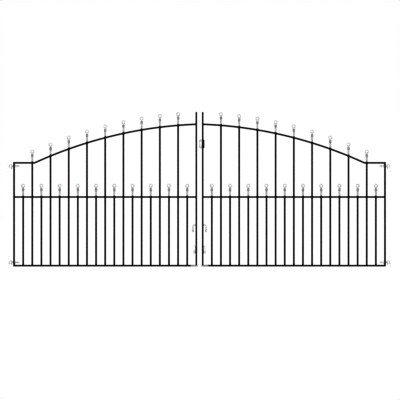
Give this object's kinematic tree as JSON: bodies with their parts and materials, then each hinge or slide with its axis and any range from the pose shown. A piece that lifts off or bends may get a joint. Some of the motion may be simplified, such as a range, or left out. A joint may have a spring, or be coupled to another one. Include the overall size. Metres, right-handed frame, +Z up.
{
  "type": "metal driveway gate",
  "caption": "Pair of black steel driveway gate leaves with arched top rails, round bars and ball finials, hung on pin hinges, with drop bolts and a rear latch.",
  "frame": {"origin": "centre of the back face of the left bottom hinge bracket's plate, at the height of its hinge", "axes": "+X to the right along the closed gate seen from the road, +Y to the rear, the way the leaves open, +Z up"},
  "size_m": [3.765, 0.064, 1.532],
  "materials": {
    "black_coat": "satin black powder coat",
    "silver_finial": "light satin silver",
    "zinc_plate": "bright zinc plating"
  },
  "bodies": {
    "hinge_brackets": {"left_bottom_bracket": "zinc_plate", "left_top_bracket": "zinc_plate", "right_bottom_bracket": "zinc_plate", "right_top_bracket": "zinc_plate"},
    "left_leaf": {"left_hinge_stile": "black_coat", "left_meeting_stile": "black_coat", "left_bottom_rail": "black_coat", "left_middle_rail": "black_coat", "left_arch_rail": "black_coat", "left_tall_bars": "black_coat", "left_short_bars": "black_coat", "left_tall_finials": "silver_finial", "left_short_finials": "silver_finial", "left_top_eyebolt": "zinc_plate", "left_bottom_eyebolt": "zinc_plate", "left_lower_bolt_guide": "zinc_plate", "left_upper_bolt_guide": "zinc_plate", "left_foot_guide": "zinc_plate"},
    "right_leaf": {"right_hinge_stile": "black_coat", "right_meeting_stile": "black_coat", "right_bottom_rail": "black_coat", "right_middle_rail": "black_coat", "right_arch_rail": "black_coat", "right_tall_bars": "black_coat", "right_short_bars": "black_coat", "right_tall_finials": "silver_finial", "right_short_finials": "silver_finial", "right_top_eyebolt": "zinc_plate", "right_bottom_eyebolt": "zinc_plate", "right_lower_bolt_guide": "zinc_plate", "right_upper_bolt_guide": "zinc_plate", "right_foot_guide": "zinc_plate", "right_latch_plate": "zinc_plate", "right_latch_cover": "zinc_plate"},
    "left_bolt": {"left_drop_bolt": "zinc_plate"},
    "right_bolt": {"right_drop_bolt": "zinc_plate"}
  },
  "joints": [
    {"name": "left_leaf_swing", "type": "hinge", "parent": "hinge_brackets", "child": "left_leaf", "pos_m": [0.026, 0, 0], "axis": [0, 0, 1], "range_deg": [0, 90]},
    {"name": "right_leaf_swing", "type": "hinge", "parent": "hinge_brackets", "child": "right_leaf", "pos_m": [3.739, 0, 0], "axis": [0, 0, -1], "range_deg": [0, 90]},
    {"name": "left_bolt_drop", "type": "slide", "parent": "left_leaf", "child": "left_bolt", "axis": [0, 0, -1], "range_m": [0, 0.11]},
    {"name": "right_bolt_drop", "type": "slide", "parent": "right_leaf", "child": "right_bolt", "axis": [0, 0, -1], "range_m": [0, 0.11]}
  ]
}
